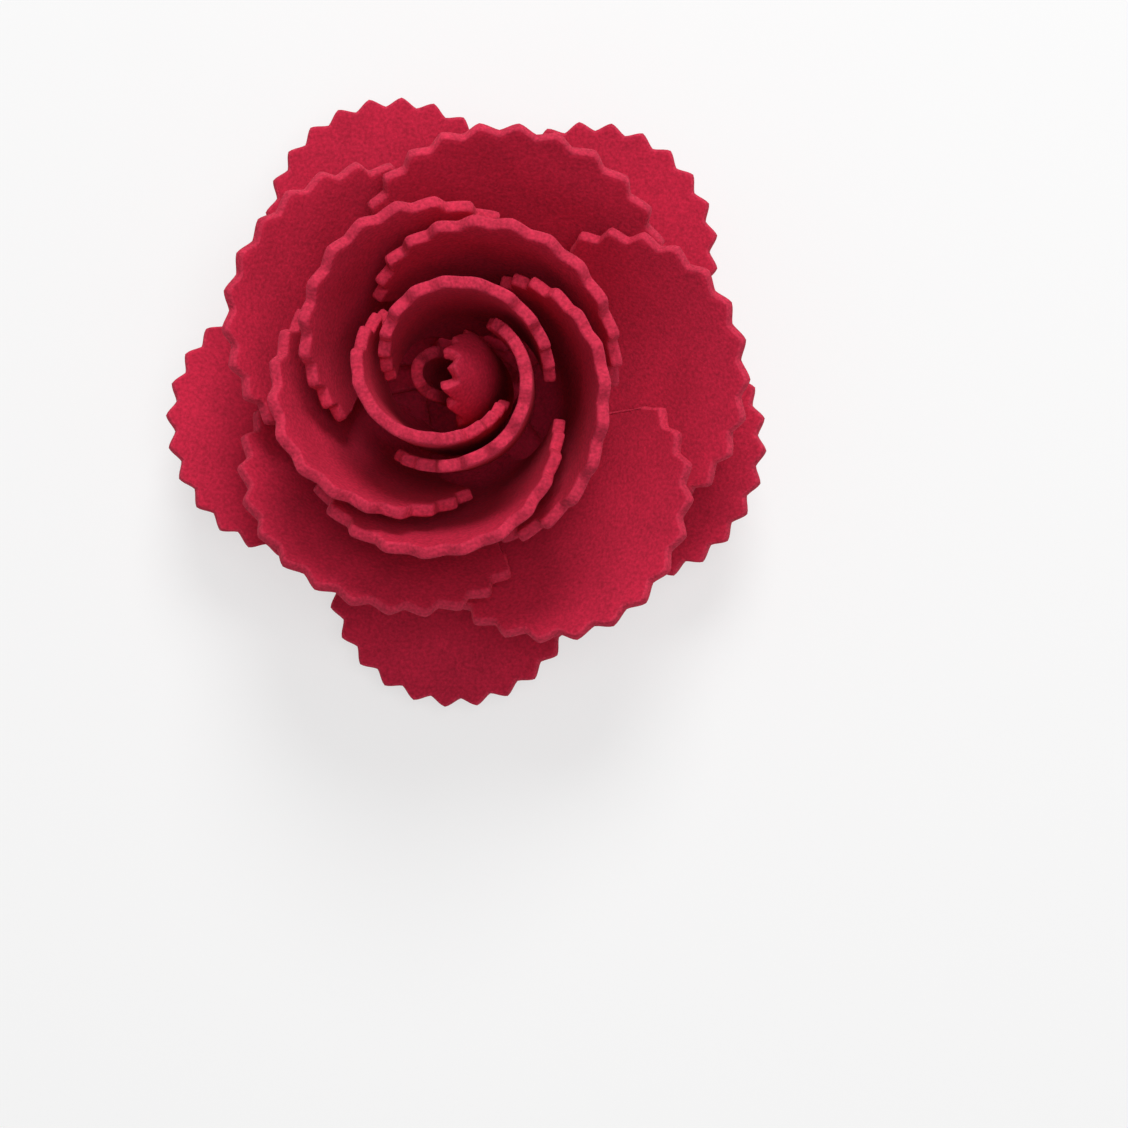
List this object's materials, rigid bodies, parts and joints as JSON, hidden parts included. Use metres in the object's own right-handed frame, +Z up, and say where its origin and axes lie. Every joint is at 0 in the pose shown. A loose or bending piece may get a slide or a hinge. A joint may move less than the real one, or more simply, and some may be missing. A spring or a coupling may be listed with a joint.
{
  "type": "craft foam rose",
  "caption": "Open red rose of pinked craft foam petals, bent into nested rows of cups around a rolled bud and glued on a round foam backing.",
  "frame": {"origin": "centre of the underside of the round foam backing, which the flower rests on", "axes": "+Z up along the flower's axis and out of the bud, +X to the right and +Y to the top of the picture"},
  "size_m": [0.0737, 0.0759, 0.0436],
  "materials": {
    "petal_foam": "matte",
    "backing_foam": "matte"
  },
  "bodies": {
    "root": {"backing": "backing_foam", "petal_outer_1": "petal_foam", "petal_outer_2": "petal_foam", "petal_outer_3": "petal_foam", "petal_outer_4": "petal_foam", "petal_outer_5": "petal_foam", "petal_middle_1": "petal_foam", "petal_middle_2": "petal_foam", "petal_middle_3": "petal_foam", "petal_middle_4": "petal_foam", "petal_middle_5": "petal_foam", "petal_inner_1": "petal_foam", "petal_inner_2": "petal_foam", "petal_inner_3": "petal_foam", "petal_inner_4": "petal_foam", "petal_inner_5": "petal_foam", "petal_cup_1": "petal_foam", "petal_cup_2": "petal_foam", "petal_cup_3": "petal_foam", "bud_wrap": "petal_foam", "bud_roll": "petal_foam"}
  },
  "joints": []
}
